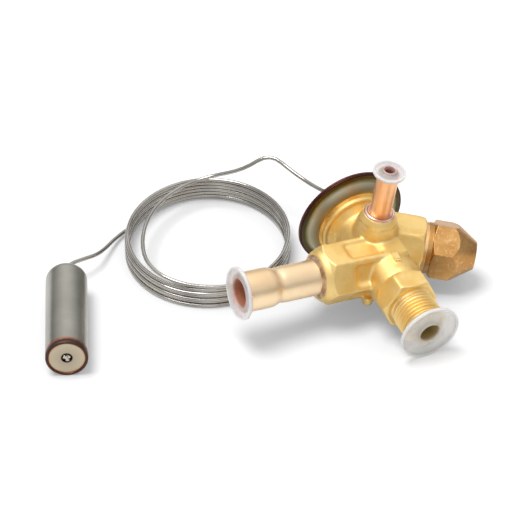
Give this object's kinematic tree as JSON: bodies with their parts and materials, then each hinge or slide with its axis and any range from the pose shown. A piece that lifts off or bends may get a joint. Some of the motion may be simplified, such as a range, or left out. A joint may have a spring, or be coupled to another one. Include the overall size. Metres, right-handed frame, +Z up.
{
  "type": "thermostatic expansion valve",
  "caption": "Angle expansion valve for refrigerant: brass body, round diaphragm head, flare inlet, solder outlet, equaliser tube, side seal cap, coiled capillary with sensing bulb.",
  "frame": {"origin": "on the floor, below the centre of the valve's box, capillary, coil and bulb left out", "axes": "+Z up from the floor; the solder outlet points towards -X, the flare inlet towards -Y, the diaphragm head towards +Y and the equaliser tube towards +Z, all within the few degrees by which the valve leans as it lies"},
  "size_m": [0.1592, 0.1237, 0.0537],
  "materials": {
    "forged_brass": "satin, lightly grained forging with turned faces",
    "cap_brass": "satin, grained, deeper bronze tone",
    "inner_brass": "machined",
    "pale_copper": "satin, brushed along",
    "copper": "satin copper",
    "braze": "braze alloy, heat-tinted",
    "head_steel": "pressed stainless, heat-tinted dark at the rim",
    "thin_steel": "bright",
    "capillary_steel": "drawn, bright",
    "bulb_steel": "satin stainless",
    "bulb_face": "dark rim, beige recessed face",
    "clear_plastic": "translucent milky",
    "seal_rubber": "pale sealing washer"
  },
  "bodies": {
    "valve": {"valve_body": "forged_brass", "outlet_tube": "pale_copper", "outlet_braze_ring": "braze", "equalizer_tube": "copper", "equalizer_braze_ring": "braze", "inlet_strainer": "thin_steel", "orifice_seat": "thin_steel", "rod_gland": "inner_brass", "spindle_packing": "seal_rubber", "spindle_gland_nut": "inner_brass", "cap_gasket": "seal_rubber", "head_lower_cup": "head_steel", "head_braze_ring": "braze", "diaphragm": "thin_steel", "head_upper_dome": "head_steel", "capillary_fitting": "capillary_steel", "superheat_spring": "thin_steel", "cone_spring": "thin_steel", "capillary_lead": "capillary_steel", "capillary_coil": "capillary_steel", "capillary_tail": "capillary_steel", "bulb_shell": "bulb_steel", "bulb_braze_ring": "braze", "bulb_end_plug": "bulb_face", "bulb_fill_stub": "bulb_steel"},
    "stem": {"thrust_pad": "thin_steel", "push_rod": "thin_steel", "valve_cone": "thin_steel"},
    "spindle": {"setting_spindle": "inner_brass"},
    "gear": {"setting_gear": "inner_brass"},
    "seat": {"spring_seat": "inner_brass"},
    "cap": {"seal_cap": "cap_brass"},
    "flare_plug": {"inlet_plug": "clear_plastic"},
    "tube_plug": {"outlet_plug": "clear_plastic"},
    "small_plug": {"equalizer_plug": "clear_plastic"}
  },
  "joints": [
    {"name": "stem_stroke", "type": "slide", "parent": "valve", "child": "stem", "axis": [-0.0143, -0.9891, -0.1463], "range_m": [0, 0.0007], "stiffness_N_per_m": 1800, "springref_m": -0.004, "deforming": ["superheat_spring", "cone_spring", "diaphragm"]},
    {"name": "superheat_spindle", "type": "hinge", "parent": "valve", "child": "spindle", "pos_m": [0.01026, 0.01534, 0.01828], "axis": [0.8547, -0.4946, -0.1577], "range_deg": [-360, 360]},
    {"name": "gear_turn", "type": "hinge", "parent": "valve", "child": "gear", "pos_m": [0.01026, 0.01534, 0.01828], "axis": [-0.0143, -0.9891, -0.1463], "range_deg": [-360, 360]},
    {"name": "spring_seat_travel", "type": "slide", "parent": "valve", "child": "seat", "axis": [0.0143, 0.9891, 0.1463], "range_m": [-0.00101, 0.00101]},
    {"name": "cap_off", "type": "slide", "parent": "valve", "child": "cap", "axis": [0.8547, -0.4946, -0.1577], "range_m": [0, 0.02]},
    {"name": "flare_plug_pull", "type": "slide", "parent": "valve", "child": "flare_plug", "axis": [-0.0143, -0.9891, -0.1463], "range_m": [0, 0.045]},
    {"name": "tube_plug_pull", "type": "slide", "parent": "valve", "child": "tube_plug", "axis": [-0.9952, 0, 0.0976], "range_m": [0, 0.03]},
    {"name": "small_plug_pull", "type": "slide", "parent": "valve", "child": "small_plug", "axis": [0.0965, -0.147, 0.9844], "range_m": [0, 0.03]}
  ],
  "couplings": [
    {"joint": "gear_turn", "follows": "superheat_spindle", "ratio": -1},
    {"joint": "spring_seat_travel", "follows": "superheat_spindle", "m_per_rad": -0.00015915}
  ]
}
